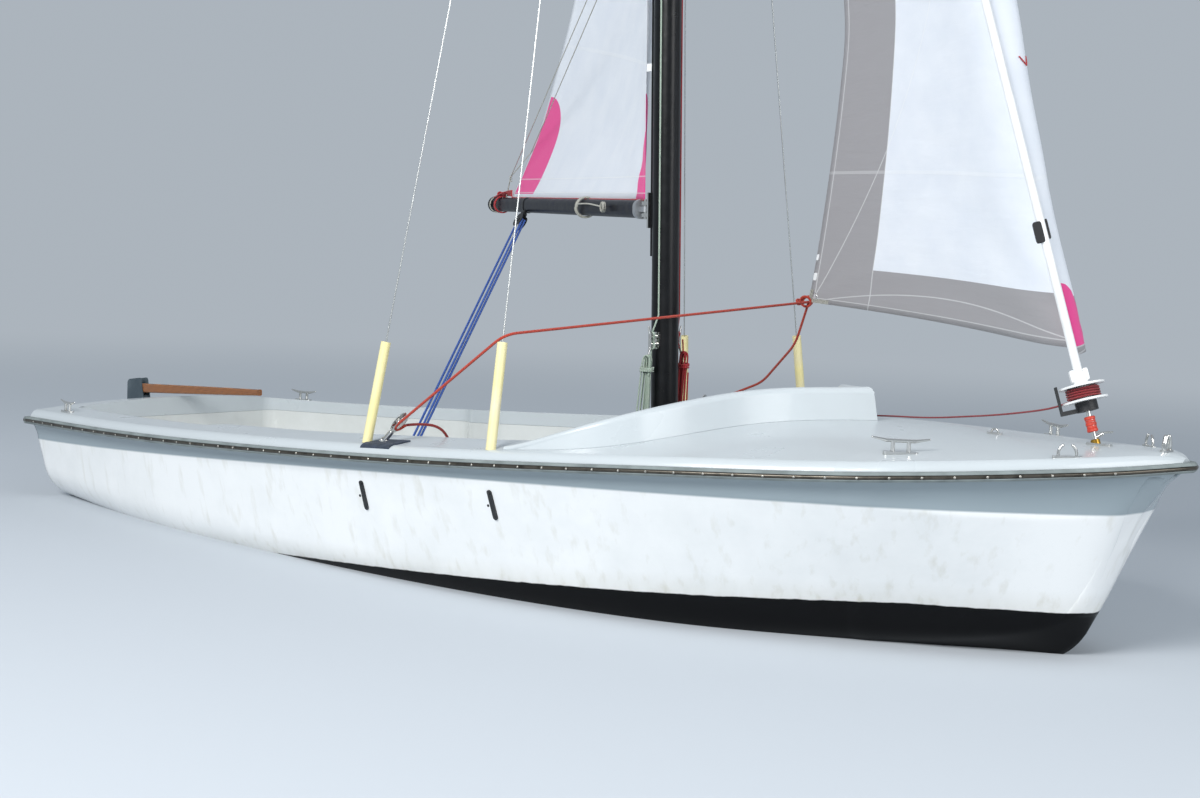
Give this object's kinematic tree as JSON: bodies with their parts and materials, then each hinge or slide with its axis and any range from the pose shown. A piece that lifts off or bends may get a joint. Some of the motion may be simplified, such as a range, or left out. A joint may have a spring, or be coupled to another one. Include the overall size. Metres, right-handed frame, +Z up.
{
  "type": "sailing dinghy",
  "caption": "Open day-sailing dinghy with raked stem, wide cockpit, V spray coaming, boomed mainsail, furling jib, lifting rudder and pivoting centreboard.",
  "frame": {"origin": "on the centreline, midway along the hull, at the waterline", "axes": "+X forward, +Y to port, +Z up along the height of the rig"},
  "size_m": [4.8383, 2.3532, 7.1725],
  "materials": {
    "hull_gelcoat": "white gelcoat over black bottom paint",
    "deck_gelcoat": "pale grey gelcoat, polished",
    "rail_rubber": "grey rubber",
    "rail_steel": "dull stainless strip",
    "board_paint": "white painted laminate",
    "fitting_steel": "polished stainless steel",
    "mast_black": "black anodised aluminium",
    "cover_tube": "cream plastic tube",
    "wire": "stranded steel wire",
    "strap_black": "black coated strap",
    "boom_black": "dark anodised aluminium",
    "sail_cloth": "white woven sailcloth",
    "furler_black": "black moulded plastic",
    "furler_white": "white moulded plastic",
    "line_red": "red braided line",
    "stock_paint": "blue-grey painted metal",
    "varnished_wood": "varnished hardwood",
    "pad_navy": "navy ribbed rubber",
    "sheet_orange_rope": "orange-red braided rope",
    "mainsheet_rope": "blue braided rope",
    "halyard_green_rope": "white braided rope with green strands",
    "halyard_red_rope": "scarlet braided rope",
    "rope_white": "white braided line"
  },
  "bodies": {
    "root": {"aft_cleats": "fitting_steel", "bow_fittings": "fitting_steel", "centreboard_case": "deck_gelcoat", "centreboard_pin": "fitting_steel", "chainplate_straps": "strap_black", "cockpit_liner": "deck_gelcoat", "deck_moulding": "deck_gelcoat", "fore_cleats": "fitting_steel", "forestay": "wire", "furler_cage": "furler_black", "furling_cleat": "furler_black", "gooseneck": "fitting_steel", "halyard_cleats": "fitting_steel", "halyard_hank_port": "halyard_red_rope", "halyard_hank_starboard": "halyard_green_rope", "hounds": "fitting_steel", "hull_shell": "hull_gelcoat", "jib_sheet_tail_port": "sheet_orange_rope", "jib_sheet_tail_starboard": "sheet_orange_rope", "mainsheet_block": "furler_black", "mast": "mast_black", "mast_step": "fitting_steel", "masthead_fitting": "fitting_steel", "rub_rail": "rail_rubber", "rub_rail_insert": "rail_steel", "rudder_gudgeons": "fitting_steel", "sail_slides": "furler_white", "sheet_blocks": "fitting_steel", "sheet_pads": "pad_navy", "shroud_covers": "cover_tube", "shrouds": "wire", "spray_coaming": "deck_gelcoat", "stay_fitting": "fitting_steel"},
    "boom": {"boom": "boom_black", "boom_casting": "fitting_steel", "boom_block": "furler_black", "mainsail": "sail_cloth"},
    "jib": {"furler_drum": "furler_white", "furling_turns": "line_red", "luff_foil": "furler_white", "jib_swivel": "fitting_steel", "jib": "sail_cloth"},
    "rudder": {"rudder_stock": "stock_paint", "rudder_pintles": "fitting_steel", "tiller": "varnished_wood"},
    "rudder_blade": {"rudder_blade": "board_paint"},
    "centreboard": {"centreboard": "board_paint"}
  },
  "joints": [
    {"name": "boom_swing", "type": "hinge", "parent": "root", "child": "boom", "pos_m": [0.32666, 0, 1.255], "axis": [-0.0489, 0, 0.9988], "range_deg": [-10, 89]},
    {"name": "jib_turn", "type": "hinge", "parent": "root", "child": "jib", "pos_m": [2.022, 0, 0.64], "axis": [-0.3292, 0, 0.9443], "range_deg": [-25, 75]},
    {"name": "rudder_turn", "type": "hinge", "parent": "root", "child": "rudder", "pos_m": [-2.35635, 0, 0.29426], "axis": [-0.237, 0, 0.9715], "range_deg": [-40, 40]},
    {"name": "blade_lift", "type": "hinge", "parent": "rudder", "child": "rudder_blade", "pos_m": [-2.37545, 0, 0.09403], "axis": [0, 1, 0], "range_deg": [0, 80]},
    {"name": "centreboard_lift", "type": "hinge", "parent": "root", "child": "centreboard", "pos_m": [0.27, 0, -0.06], "axis": [0, 1, 0], "range_deg": [0, 78]}
  ]
}
